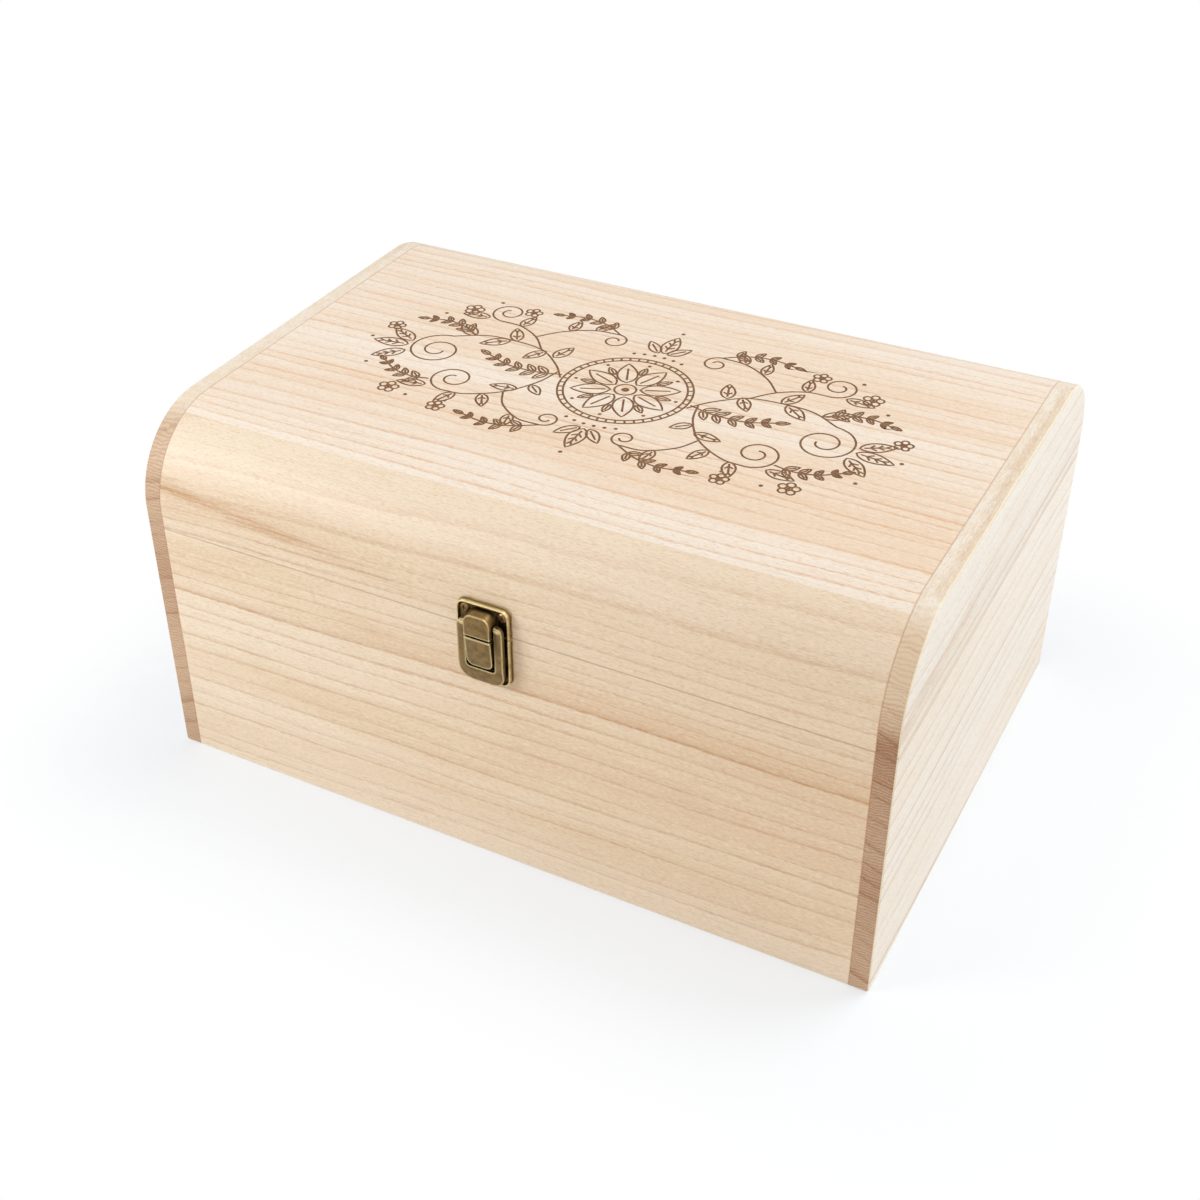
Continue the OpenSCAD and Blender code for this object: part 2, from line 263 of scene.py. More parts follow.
def makeWood(name, grain, pith, along, **changes):
    # Paulownia, planed and sanded bare: pale cream, thin tan ring lines that run with the grain,
    # fine short pores, brown end grain. The rings are shells round a pith line outside the board,
    # so that every face of a board shows the cut that a real board has.
    look = {**paulownia, **changes}
    material, tree = newMaterial(name)
    place = addNode(tree, "TexCoord", output="Object")
    inMm = addNode(tree, "VectorMath", {0: place, "Scale": 1 / mm}, operation="SCALE")
    turn = 0 if grain == "X" else -math.pi / 2
    point = addNode(tree, "Mapping", {"Vector": inMm, "Rotation": (0, 0, turn),
                                      "Location": (along, -pith[0], -pith[1])})

    # the tree's slow bends, which the fibres follow
    size = [1 / measure for measure in look["bendSize"]]
    slow = addNode(tree, "VectorMath", {0: point, 1: size}, operation="MULTIPLY")
    bend = addNode(tree, "TexNoise", {"Vector": slow, "Scale": 1})
    bend = addNode(tree, "MapRange", {0: bend, 3: -look["wander"], 4: look["wander"]})
    aside = addNode(tree, "CombineXYZ", {1: bend, 2: bend})
    bent = addNode(tree, "VectorMath", {0: point, 1: aside}, operation="ADD")

    # distance from the pith, and a space that is wound round it
    lengthwise = addNode(tree, "SeparateXYZ", {0: point}, output="X")
    sideways = addNode(tree, "SeparateXYZ", {0: point}, output="Y")
    upward = addNode(tree, "SeparateXYZ", {0: point}, output="Z")
    flat = addNode(tree, "VectorMath", {0: point, 1: (0, 1, 1)}, operation="MULTIPLY")
    distance = addNode(tree, "VectorMath", {0: flat}, output="Value", operation="LENGTH")
    distance = addNode(tree, "Math", {0: distance, 1: bend}, operation="ADD")
    distance = addNode(tree, "Math", {0: lengthwise, 1: look["lean"], 2: distance},
                       operation="MULTIPLY_ADD")
    angle = addNode(tree, "Math", {0: sideways, 1: upward}, operation="ARCTAN2")
    roundPith = addNode(tree, "Math", {0: angle, 1: look["windRadius"]}, operation="MULTIPLY")
    wound = addNode(tree, "CombineXYZ", {0: lengthwise, 1: distance, 2: roundPith})

    noise = {}
    for space, noises in ((wound, look["ringNoises"]), (bent, look["fibreNoises"])):
        for key, (long, wide, detail, rough, twist) in noises.items():
            size = (1 / long, 1 / wide, 1 / wide)
            scaled = addNode(tree, "VectorMath", {0: space, 1: size}, operation="MULTIPLY")
            noise[key] = addNode(tree, "TexNoise", {"Vector": scaled, "Scale": 1, "Detail": detail,
                                                    "Roughness": rough, "Distortion": twist})

    # rings, with two fine jitters that fray them
    for key in ("fray", "fuzz"):
        distance = addNode(tree, "Math", {0: noise[key], 1: look[key + "Depth"], 2: distance},
                           operation="MULTIPLY_ADD")
    rings = addNode(tree, "Math", {0: distance, 1: look["ringSpacing"]}, operation="DIVIDE")
    slower = addNode(tree, "Math", {0: rings, 1: 0.5}, operation="MULTIPLY")
    uneven = addNode(tree, "TexNoise", {"W": slower, "Scale": 1, "Detail": 1}, noise_dimensions="1D")
    rings = addNode(tree, "Math", {0: uneven, 1: look["unevenness"], 2: rings},
                    operation="MULTIPLY_ADD")

    # each year's line, sharp towards the pith and soft away from it, with fainter lines in the year
    year = addNode(tree, "Math", {0: rings}, operation="FLOOR")
    strength = addNode(tree, "TexWhiteNoise", {"W": year}, noise_dimensions="1D")
    phase = addNode(tree, "Math", {0: rings}, operation="FRACT")
    core = setRamp(addNode(tree, "ValToRGB", {0: phase}), look["core"])
    glow = setRamp(addNode(tree, "ValToRGB", {0: phase}), look["glow"])
    thirds = addNode(tree, "Math", {0: rings, 1: 3}, operation="MULTIPLY")
    thirds = addNode(tree, "Math", {0: thirds}, operation="FRACT")
    inner = setRamp(addNode(tree, "ValToRGB", {0: thirds}), look["third"])
    dash = addNode(tree, "MapRange", {0: noise["dash"], 1: 0.3, 2: 0.7, 3: 0.4, 4: 1.3})
    core = addNode(tree, "Math", {0: core, 1: dash}, operation="MULTIPLY")
    line = addNode(tree, "Math", {0: core, 1: glow}, operation="ADD")
    yearly = addNode(tree, "Math", {0: strength, 1: 1.3}, operation="POWER")
    yearly = addNode(tree, "MapRange", {0: yearly, 3: 0.42, 4: 0.95})
    line = addNode(tree, "Math", {0: line, 1: yearly}, operation="MULTIPLY")
    line = addNode(tree, "Math", {0: inner, 1: strength, 2: line}, operation="MULTIPLY_ADD")
    fade = addNode(tree, "MapRange", {0: noise["fade"], 1: 0.32, 2: 0.6,
                                      3: look["ringLeast"], 4: look["ringStrength"]},
                   interpolation_type="SMOOTHSTEP")
    line = addNode(tree, "Math", {0: line, 1: fade}, operation="MULTIPLY")
    up = addNode(tree, "SeparateXYZ", {0: inMm}, output="Z")
    height = addNode(tree, "Math", {0: up, 1: topZ}, operation="DIVIDE")
    lineShade = setRamp(addNode(tree, "ValToRGB", {0: height}), look["lineShade"])
    line = addNode(tree, "Math", {0: line, 1: lineShade}, operation="MULTIPLY", use_clamp=True)

    toneShade = setRamp(addNode(tree, "ValToRGB", {0: height}), look["toneShade"])
    warmth = addNode(tree, "Math", {0: toneShade, 1: look["warmth"]}, operation="MULTIPLY")
    drift = addNode(tree, "Math", {0: toneShade, 1: look["drift"]}, operation="MULTIPLY")

    # the stain: distance from its slanting middle line, fading out along it
    (startX, startZ), (endX, endZ), stainHalf, stainStrength = look["stain"]
    slope = (endZ - startZ) / (endX - startX)
    run = addNode(tree, "SeparateXYZ", {0: inMm}, output=grain)
    middle = addNode(tree, "Math", {0: run, 1: -slope, 2: slope * startX - startZ},
                     operation="MULTIPLY_ADD")
    off = addNode(tree, "Math", {0: up, 1: middle}, operation="ADD")
    off = addNode(tree, "Math", {0: noise["fray"], 1: look["stainFray"], 2: off},
                  operation="MULTIPLY_ADD")
    off = addNode(tree, "Math", {0: off, 1: look["stainFray"] / 2}, operation="SUBTRACT")
    off = addNode(tree, "Math", {0: off}, operation="ABSOLUTE")
    stain = addNode(tree, "MapRange", {0: off, 1: stainHalf, 2: 0, 3: 0, 4: stainStrength},
                    interpolation_type="SMOOTHSTEP")
    fading = addNode(tree, "MapRange", {0: run, 1: endX, 2: startX}, interpolation_type="SMOOTHSTEP")
    stain = addNode(tree, "Math", {0: stain, 1: fading}, operation="MULTIPLY")
    threads = addNode(tree, "MapRange", {0: noise["fibre"], 1: 0.38, 2: 0.6, 3: 1.5, 4: 0.4})
    stain = addNode(tree, "Math", {0: stain, 1: threads}, operation="MULTIPLY", use_clamp=True)

    # a glue line where the boards meet the end panels
    across = addNode(tree, "SeparateXYZ", {0: inMm}, output="X")
    offMiddle = addNode(tree, "Math", {0: across}, operation="ABSOLUTE")
    offJoint = addNode(tree, "Math", {0: offMiddle, 1: halfInner}, operation="SUBTRACT")
    offJoint = addNode(tree, "Math", {0: offJoint}, operation="ABSOLUTE")

    # painted shade in the seam between the lid and the base, a dark line for the gap's shadow, but not
    # on the flat faces that meet there, which count as far off
    normal = addNode(tree, "TexCoord", output="Normal")
    level = addNode(tree, "SeparateXYZ", {0: normal}, output="Z")
    level = addNode(tree, "Math", {0: level}, operation="ABSOLUTE")
    level = addNode(tree, "Math", {0: level, 1: 0.9}, operation="GREATER_THAN")
    offSeam = addNode(tree, "Math", {0: up, 1: seamZ}, operation="SUBTRACT")
    offSeam = addNode(tree, "Math", {0: offSeam}, operation="ABSOLUTE")
    offSeam = addNode(tree, "Math", {0: level, 1: 9, 2: offSeam}, operation="MULTIPLY_ADD")

    # the end grain, on faces that look along the grain
    facing = addNode(tree, "SeparateXYZ", {0: normal}, output=grain)
    facing = addNode(tree, "Math", {0: facing}, operation="ABSOLUTE")
    endness = addNode(tree, "MapRange", {0: facing, 1: 0.1, 2: 0.75}, interpolation_type="SMOOTHSTEP")
    shade = setRamp(addNode(tree, "ValToRGB", {0: height}), look["endShade"])
    endTone = addNode(tree, "Math", {0: line, 1: 0.7, 2: shade}, operation="MULTIPLY_ADD")
    wave = math.pi / (10 * look["curlWave"])    # the node's own scale for that wave
    wavy = addNode(tree, "TexWave", {"Vector": inMm, "Scale": wave, "Distortion": 9, "Detail": 2,
                                     "Detail Scale": 0.7}, "Fac", bands_direction="Z")
    wavy = addNode(tree, "Math", {0: wavy, 1: 0.3, 2: noise["curl"]}, operation="MULTIPLY_ADD")
    curl = addNode(tree, "MapRange", {0: wavy, 1: 0.4, 2: 0.9,
                                      3: -look["curlDepth"], 4: look["curlDepth"]})
    endTone = addNode(tree, "Math", {0: endTone, 1: curl}, operation="ADD", use_clamp=True)
    endColor = addNode(tree, "Mix", {0: endTone, 6: look["endPale"], 7: look["endDark"]}, 2,
                       data_type="RGBA")

    # the outer arrises, which get a painted highlight: faces turned halfway out of the end panels'
    # planes; the edges are curly too
    outward = addNode(tree, "SeparateXYZ", {0: normal}, output="X")
    outward = addNode(tree, "Math", {0: outward}, operation="ABSOLUTE")
    edgeShare = addNode(tree, "MapRange", {0: wavy, 1: 0.4, 2: 0.9,
                                           3: 0.3 * look["edgeShare"], 4: look["edgeShare"]})
    halfway = addNode(tree, "Math", {0: outward, 1: 0.7}, operation="SUBTRACT")
    halfway = addNode(tree, "Math", {0: halfway}, operation="ABSOLUTE")

    # (tint, what drives it, where it is at its full share and where it is gone, that share)
    color = addNode(tree, "RGB")
    color.default_value = hexColor(look["pale"])
    for tint, driver, full, gone, share in (
            (look["warm"], noise["streak"], 0.7, 0.36, warmth),
            # painted shade, warmer and darker towards the right end
            (look["warm"], run, halfWidth, -halfWidth, drift),
            (look["edge"], outward, 0.2, 0.9, edgeShare),
            (look["line"], line, 1, 0, 1),
            (look["line"], stain, 1, 0, 1),
            (look["pore"], noise["speck"], 0.72, 0.5, look["poreShare"]),
            (look["fleck"], noise["speck"], 0.28, 0.5, look["fleckShare"]),
            (look["line"], noise["fibre"], 0.3, 0.5, look["fibreShare"]),
            (endColor, endness, 1, 0, 1),
            # painted highlight on the outer arrises
            (look["arris"], halfway, 0.1, 0.3, look["arrisHighlightShare"]),
            (look["glue"], offJoint, 0.08, 0.38, look["glueShare"]),
            # painted shade along the seam
            (look["seam"], offSeam, 0.1, 0.42, look["seamShadeShare"])):
        amount = addNode(tree, "MapRange", {0: driver, 1: full, 2: gone, 3: share, 4: 0},
                         interpolation_type="LINEAR" if driver in (line, stain) else "SMOOTHSTEP")
        color = addNode(tree, "Mix", {0: amount, 6: color, 7: tint}, 2, data_type="RGBA")

    roughness = addNode(tree, "MapRange", {0: noise["fibre"], 1: 0.3, 2: 0.7,
                                           3: look["roughness"] - 0.05, 4: look["roughness"] + 0.08})
    relief = addNode(tree, "Math", {0: line, 1: -0.25, 2: noise["speck"]}, operation="MULTIPLY_ADD")
    bump = addNode(tree, "Bump", {"Height": relief, "Strength": 0.3,
                                  "Distance": look["reliefDepth"] * mm})
    shader = addNode(tree, "BsdfPrincipled", {"Base Color": color, "Roughness": roughness,
                                              "Normal": bump})
    addNode(tree, "OutputMaterial", {"Surface": shader})
    return material


# each board was cut elsewhere in its tree: where its pith lies, and how far along it starts
frontWood = makeWood("paulownia front", "X", (-30, -60), 900, lean=-0.02, wander=3.5,
                     pale="#F1DFC5", warm="#DDB990", line="#B57B3B", drift=0.4, roughness=0.42,
                     stain=((-140, 118.5), (20, 101), 3.8, 0.62),
                     lineShade=((0, 0.5), (0.2, 0.65), (0.4, 1), (0.71, 1), (0.8, 0.5), (1, 0.5)),
                     # warm tones gone at the bottom, a painted brightening for light thrown up by the
                     # floor, and eased off near the joint with the top board
                     toneShade=((0, 0), (0.25, 1), (0.84, 1), (0.96, 0.3), (1, 0.3)))
topWood = makeWood("paulownia top", "X", (-165, 40), 100, lean=-0.006, ringSpacing=4.6,
                   pale="#F5E8D8", warm="#ECD0B0", warmth=0.7, line="#D29349")
backWood = makeWood("paulownia back", "X", (40, -90), 1500)
bottomWood = makeWood("paulownia bottom", "X", (120, -60), 2300)
# end panels' wood, paler and cooler than the boards': partly its own tone, partly a painted brightening
# for the stronger light on the right face
endPanel = {"pale": "#F4EEE4", "warm": "#F0E3CF", "line": "#BF8A40", "ringSpacing": 8,
            "ringStrength": 0.62, "ringLeast": 0.16, "edgeShare": 0.6, "arrisHighlightShare": 0.8}
leftWood = makeWood("paulownia left end", "Y", (70, -160), 400, **endPanel,
                    endShade=((0, 0.55), (0.3, 0.45), (0.6, 0.65), (0.75, 0.45), (1, 0.3)))
rightWood = makeWood("paulownia right end", "Y", (-60, -150), 1900, **endPanel,
                     stain=((-105, 108), (70, 124), 6, 0.34),
                     endShade=((0, 0.45), (0.35, 0.7), (0.42, 0.55), (0.65, 0.7),
                               (0.74, 0.9), (0.79, 0.4), (0.86, 0.05), (1, 0)))
print("wood materials made")

# radius and segments of each rounded arris
base = {
    "cornerEase": (0.8, 3),  # the four upright outer corners
    "footEase": (1.3, 4),    # round the bottom
    "seamEase": (0.3, 2),    # outer arris at the seam
    "innerEase": (0.5, 2),   # inner arris at the seam
    "panelEase": (0.3, 2),   # lower arrises of the bottom panel
}


def makeBaseEnd(name, side, node, material):
    outer, inner = side * halfWidth, side * halfInner
    board = addBlock(name, (min(outer, inner), -halfDepth, 0), (max(outer, inner), halfDepth, seamZ))
    bevelEdges(board, *base["cornerEase"],
               lambda c: lies(c, x=outer) and (lies(c, y=halfDepth) or lies(c, y=-halfDepth)))
    bevelEdges(board, *base["footEase"], lambda c: lies(c, z=0) and not lies(c, x=inner))
    bevelEdges(board, *base["seamEase"], lambda c: lies(c, z=seamZ) and not lies(c, x=inner))
    bevelEdges(board, *base["innerEase"], lambda c: lies(c, z=seamZ, x=inner))
    smoothByAngle(board)
    finishPiece(board, node, material)


def makeBaseBoard(name, side, node, material):
    outer, inner = side * halfDepth, side * halfInnerDepth
    board = addBlock(name, (-halfInner, min(outer, inner), 0), (halfInner, max(outer, inner), seamZ))
    bevelEdges(board, *base["footEase"], lambda c: lies(c, z=0, y=outer))
    bevelEdges(board, *base["seamEase"], lambda c: lies(c, z=seamZ, y=outer))
    bevelEdges(board, *base["innerEase"], lambda c: lies(c, z=seamZ, y=inner))
    smoothByAngle(board)
    finishPiece(board, node, material)


makeBaseEnd("baseLeftEnd", -1, "base_left_end", leftWood)
makeBaseEnd("baseRightEnd", 1, "base_right_end", rightWood)
makeBaseBoard("baseFrontBoard", -1, "base_front_board", frontWood)
makeBaseBoard("baseBackBoard", 1, "base_back_board", backWood)

bottomPanel = addBlock("baseBottomPanel", (-halfInner, -halfInnerDepth, 0),
                       (halfInner, halfInnerDepth, panelHigh.z))
bevelEdges(bottomPanel, *base["panelEase"], lambda c: lies(c, z=0))
smoothByAngle(bottomPanel)
finishPiece(bottomPanel, "base_bottom_panel", bottomWood)
print("base boards made")

lid = {
    "arch": (33, 40),        # the two long upper edges
    "outlineEase": (0.8, 3), # outer arris of each end panel, all round the arch
}


def isUpperLongEdge(corners):
    return lies(corners, y=halfDepth, z=topZ) or lies(corners, y=-halfDepth, z=topZ)


def makeLidEnd(name, side, node, material):
    outer, inner = side * halfWidth, side * halfInner
    board = addBlock(name, (min(outer, inner), -halfDepth, seamZ), (max(outer, inner), halfDepth, topZ))
    bevelEdges(board, *lid["arch"], isUpperLongEdge)
    bevelEdges(board, *lid["outlineEase"], lambda c: lies(c, x=outer) and not lies(c, z=seamZ))
    bevelEdges(board, *base["seamEase"], lambda c: lies(c, z=seamZ) and not lies(c, x=inner))
    bevelEdges(board, *base["innerEase"], lambda c: lies(c, z=seamZ, x=inner))
    smoothByAngle(board)
    finishPiece(board, node, material)


def makeLidShell(name):
    # the lid's curved shell between its end panels: outer skin first, then the boards' thickness
    shell = addBlock(name, (-halfInner, -halfDepth, seamZ), (halfInner, halfDepth, topZ))
    bevelEdges(shell, *lid["arch"], isUpperLongEdge)
    selectParts(shell, lambda c: lies(c, z=seamZ) or lies(c, x=halfInner) or lies(c, x=-halfInner),
                kind="FACE")
    bpy.ops.mesh.delete(type="FACE")
    bpy.ops.mesh.select_all(action="SELECT")
    bpy.ops.mesh.normals_make_consistent(inside=False)
    bpy.ops.object.mode_set(mode="OBJECT")
    applyModifier(shell, "SOLIDIFY", thickness=boardThickness * mm, offset=-1, use_even_offset=True)
    return shell


def sawAt(piece, y, keepSide):
    # cuts the piece at depth y and keeps the part on that side, its cut face closed
    makeActive(piece)
    bpy.ops.object.mode_set(mode="EDIT")
    bpy.ops.mesh.select_all(action="SELECT")
    bpy.ops.mesh.bisect(plane_co=(0, y * mm, 0), plane_no=(0, 1, 0), use_fill=True,
                        clear_inner=keepSide > 0, clear_outer=keepSide < 0)
    bpy.ops.object.mode_set(mode="OBJECT")


def makeLidRail(name, side, node, material):
    rail = makeLidShell(name)
    sawAt(rail, side * jointY, side)
    bevelEdges(rail, *base["seamEase"], lambda c: lies(c, z=seamZ, y=side * halfDepth))
    bevelEdges(rail, *base["innerEase"], lambda c: lies(c, z=seamZ, y=side * halfInnerDepth))
    smoothByAngle(rail)
    finishPiece(rail, node, material)


makeLidEnd("lidLeftEnd", -1, "lid_left_end", leftWood)
makeLidEnd("lidRightEnd", 1, "lid_right_end", rightWood)
makeLidRail("lidFrontRail", -1, "lid_front_rail", frontWood)
makeLidRail("lidBackRail", 1, "lid_back_rail", backWood)
print("lid boards made")

engraving = {
    "strokeRadius": 0.48,    # round cutter
    "strokeRise": 0.2,       # how high its centre runs over the surface
    "middle": (0, 0),
    "scale": 1.15,           # size of the whole design
    "gridStep": 9,           # squares that the board's faces are cut into first
    "dotGrowth": 1.25,       # a dot's ball and the height of its middle, both to the dot's radius
    "dotRise": 0.75,
    "burntDark": "#785438",
    "burntPale": "#9A744F",
    "charLength": 8.3,       # patches of darker and paler burn, along the grain and across it
    "charWidth": 1.1,
}


def makeBurntWood():
    # Laser-burnt groove: brown, matt, a little uneven in tone along the grain
    material, tree = newMaterial("burnt groove")
    place = addNode(tree, "TexCoord", output="Object")
    patch = [1 / (engraving[key] * mm) for key in ("charLength", "charWidth", "charWidth")]
    stretched = addNode(tree, "VectorMath", {0: place, 1: patch}, operation="MULTIPLY")
    grain = addNode(tree, "TexNoise", {"Vector": stretched, "Scale": 1, "Detail": 3})
    tones = ((0.35, engraving["burntDark"]), (0.7, engraving["burntPale"]))
    tone = setRamp(addNode(tree, "ValToRGB", {0: grain}), tones)
    shader = addNode(tree, "BsdfPrincipled", {"Base Color": tone, "Roughness": 0.85})
    addNode(tree, "OutputMaterial", {"Surface": shader})
    return material


def curvePoints(marks, steps=10):
    # a smooth line through the marks, which are first run on by one step at both ends
    marks = [Vector(mark) for mark in marks]
    marks = [2 * marks[0] - marks[1], *marks, 2 * marks[-1] - marks[-2]]
    points = []
    for a, b, c, d in zip(marks, marks[1:], marks[2:], marks[3:]):
        for i in range(steps):
            t = i / steps
            points.append(0.5 * (2 * b + (c - a) * t + (2 * a - 5 * b + 4 * c - d) * t ** 2
                                 + (3 * b - a - 3 * c + d) * t ** 3))
    return points + [marks[-2]]


def pointAt(angle, radius=1):
    # the point at that angle, in degrees, round the design's middle
    return radius * Vector((math.cos(math.radians(angle)), math.sin(math.radians(angle))))


def spiralPoints(middle, startRadius, endRadius, startAngle, turns):
    # turns is negative for a clockwise spiral
    steps = int(abs(turns) * 30)
    points = []
    for i in range(steps + 1):
        t = i / steps
        radius = startRadius + (endRadius - startRadius) * t ** 0.85
        points.append(Vector(middle) + pointAt(startAngle + turns * 360 * t, radius))
    return points


def leafStrokes(foot, angle, length, width, veins=0):
    # pointed leaf: outline, midrib and side veins; returns (points, closed) pairs
    forward = pointAt(angle)
    sideways = Vector((-forward.y, forward.x))
    foot = Vector(foot)

    def rim(t, side):
        swell = math.sin(math.pi * t ** 0.8) ** 0.85
        return foot + forward * length * t + sideways * side * width / 2 * swell

    steps = 12
    outline = [rim(i / steps, 1) for i in range(steps + 1)]
    outline += [rim(1 - i / steps, -1) for i in range(1, steps)]
    strokes = [(outline, True), ([foot + forward * length * t for t in (0.12, 0.4, 0.75)], False)]
    for i in range(veins):
        t = 0.28 + 0.42 * i / max(veins - 1, 1)
        for side in (1, -1):
            strokes.append(([foot + forward * length * t, rim(t + 0.14, side * 0.62)], False))
    return strokes


def circleStroke(middle, radius, steps=28):
    return [([Vector(middle) + pointAt(360 * i / steps, radius) for i in range(steps)], True)]


def headingOf(step):
    return math.degrees(math.atan2(step.y, step.x))


def sprigStrokes(marks, leaves, length, width):
    # a stem with pairs of small leaves that shrink towards its tip
    stem = curvePoints(marks)
    strokes = [(stem, False)]
    for i in range(leaves):
        at = int((0.22 + 0.66 * i / (leaves - 1)) * (len(stem) - 1))
        angle = headingOf(stem[min(at + 3, len(stem) - 1)] - stem[at - 3])
        shrink = 1 - 0.35 * i / (leaves - 1)
        for turn in (48, -48):
            strokes += leafStrokes(stem[at], angle + turn, length * shrink, width * shrink)
    return strokes + leafStrokes(stem[-1], headingOf(stem[-1] - stem[-4]), length * 0.8, width * 0.75)


def blossomStrokes(middle, size):
    # five round petals
    strokes = []
    for i in range(5):
        petal = Vector(middle) + pointAt(72 * i + 18, 0.62 * size)
        strokes += circleStroke(petal, 0.36 * size, 14)
    return strokes


def drawMedallion():
    # a round daisy medallion, with a ring of ticks and two rows of beads; returns strokes and dots
    strokes, dots = [], [((0, 0), 1.5)]
    for radius, steps in ((21, 90), (19.2, 84), (3.4, 24)):
        strokes += circleStroke((0, 0), radius, steps)
    for i in range(8):
        angle = 45 * i + 22.5
        strokes += leafStrokes(pointAt(angle, 4.6), angle, 12.4, 6.4)
        between = angle + 22.5
        dots.append((pointAt(between, 17.1), 0.75))
        strokes += leafStrokes(pointAt(between, 10.4), between, 5, 2.2)
    for i in range(45):
        strokes.append(([pointAt(8 * i, radius) for radius in (19.2, 21)], False))
    for i in range(6):
        for side in (1, -1):
            dots.append((pointAt(side * (70 + 8 * i), 24.3), 0.75))
    for side in (1, -1):
        strokes += leafStrokes((0, side * 27), 90 * side, 12, 5.4, 3)
        strokes += leafStrokes((1.6, side * 26.6), side * 48, 8.5, 3.8)
        strokes += leafStrokes((-1.6, side * 26.6), side * 132, 8.5, 3.8)
        dots.append(((0, side * 42), 0.8))
    return strokes, dots


def drawScroll():
    # the scrolls to the medallion's right, with leaves, sprigs and small blossoms
    strokes, dots = [], []
    # each scroll: the marks of its stem, then its spiral's middle, radii, start angle and turns
    for marks, spiral in (
            ([(21.6, -2), (27, 5), (36, 12), (48, 13.5), (57, 12.5), (66, 7.5)],
             ((66, -3), 10.5, 2.2, 90, -1.75)),
            ([(36, 12), (42, 19), (50, 23.5), (58, 24)],
             ((58, 30.5), 6.5, 1.6, -90, 1.45)),
            ([(24, 1.4), (26.5, -8), (33, -18), (43, -24.5), (51, -25.5)],
             ((51, -17.5), 8, 1.8, -90, 1.5)),
            ([(33, -18), (29, -25), (21, -30.5), (13, -31)],
             ((13, -26.8), 4.2, 1.3, -90, -1.2)),
            ([(42, 19), (36, 26), (27, 31.5), (18, 32.5)],
             ((18, 27.8), 4.7, 1.4, 90, 1.2))):
        strokes.append((curvePoints(marks)[:-1] + spiralPoints(*spiral), False))
    # each leaf: foot, angle, length, width and side veins
    for leaf in (((46, 13.6), 62, 9, 4.2, 2), ((48, 13), -38, 10, 4.6, 2), ((60, 11), 35, 10, 4.6, 2),
                 ((30, 9), 108, 9, 4.4, 2), ((34, 11.4), -58, 8.5, 4, 2), ((76.3, -1), 28, 11, 5, 3),
                 ((76.4, -4), -8, 12, 5.2, 3), ((75, -8), -44, 11, 5, 3), ((50, 23.6), 100, 8, 3.8, 2),
                 ((62.5, 24.8), -8, 9.5, 4.2, 2), ((57, -24.6), -12, 9.5, 4.2, 2),
                 ((46, -25.2), -70, 8.5, 4, 2), ((38, -22), -118, 8, 3.8, 2),
                 ((27.4, -10.4), -140, 7, 3.4, 0), ((30, -14.6), -8, 9, 4, 2),
                 ((24, -29.2), -100, 7.5, 3.6, 2), ((34, 28), 92, 7.5, 3.6, 2),
                 ((26.5, 31.8), 120, 7.5, 3.6, 2)):
        strokes += leafStrokes(*leaf)
    # each sprig: the marks of its stem, pairs of leaves, a leaf's length and width
    for sprig in (([(22, 0), (30, -2), (40, -2), (49, 1.5)], 5, 5.6, 2.5),
                  ([(60, 11.4), (66, 15), (73, 16.5), (80, 15)], 4, 4.8, 2.2),
                  ([(58, -21), (64, -22), (71, -20.5), (77, -16.5)], 4, 4.6, 2.2),
                  ([(18, 32.5), (25, 37), (33, 38.5), (41, 37)], 4, 4.6, 2.2),
                  ([(13, -31), (21, -35.5), (29, -37), (37, -35.5)], 4, 4.6, 2.2)):
        strokes += sprigStrokes(*sprig)
    for middle, size in (((70, 27.5), 3.4), ((66.5, -31), 3.4), ((51, 34), 3), ((47, -35), 3),
                         ((87, 6), 3)):
        strokes += blossomStrokes(middle, size)
        dots.append((middle, 0.7))
    dots += [((64, 36), 0.8), ((77, 21), 0.8), ((59, -33), 0.8), ((46, -31), 0.7), ((82, -20), 0.8),
             ((90, -4), 0.8)]
    return strokes, dots


def drawDesign():
    # the medallion, and the scroll mirrored to both sides of it
    strokes, dots = drawMedallion()
    sideStrokes, sideDots = drawScroll()
    for side in (1, -1):
        for points, closed in sideStrokes:
            strokes.append(([Vector((side * x, y)) for x, y in points], closed))
        dots += [((side * x, y), radius) for (x, y), radius in sideDots]
    return strokes, dots


def onBoard(point, rise):
    # where a point of the design lies in the scene, at that height over the board
    place = Vector(engraving["middle"]) + engraving["scale"] * Vector(point)
    return place.x * mm, place.y * mm, (topZ + rise) * mm


def addCutter(collection, points, closed):
    # a round cutter that follows the stroke, as a curve that becomes a mesh later
    curve = bpy.data.curves.new("cutter", "CURVE")
    curve.dimensions = "3D"
    curve.bevel_depth = engraving["strokeRadius"] * mm
    curve.bevel_resolution = 2
    curve.use_fill_caps = True
    spline = curve.splines.new("POLY")
    spline.points.add(len(points) - 1)
    for spot, point in zip(spline.points, points):
        spot.co = (*onBoard(point, engraving["strokeRise"]), 1)
    spline.use_cyclic_u = closed
    cutter = bpy.data.objects.new("cutter", curve)
    collection.objects.link(cutter)
    return cutter


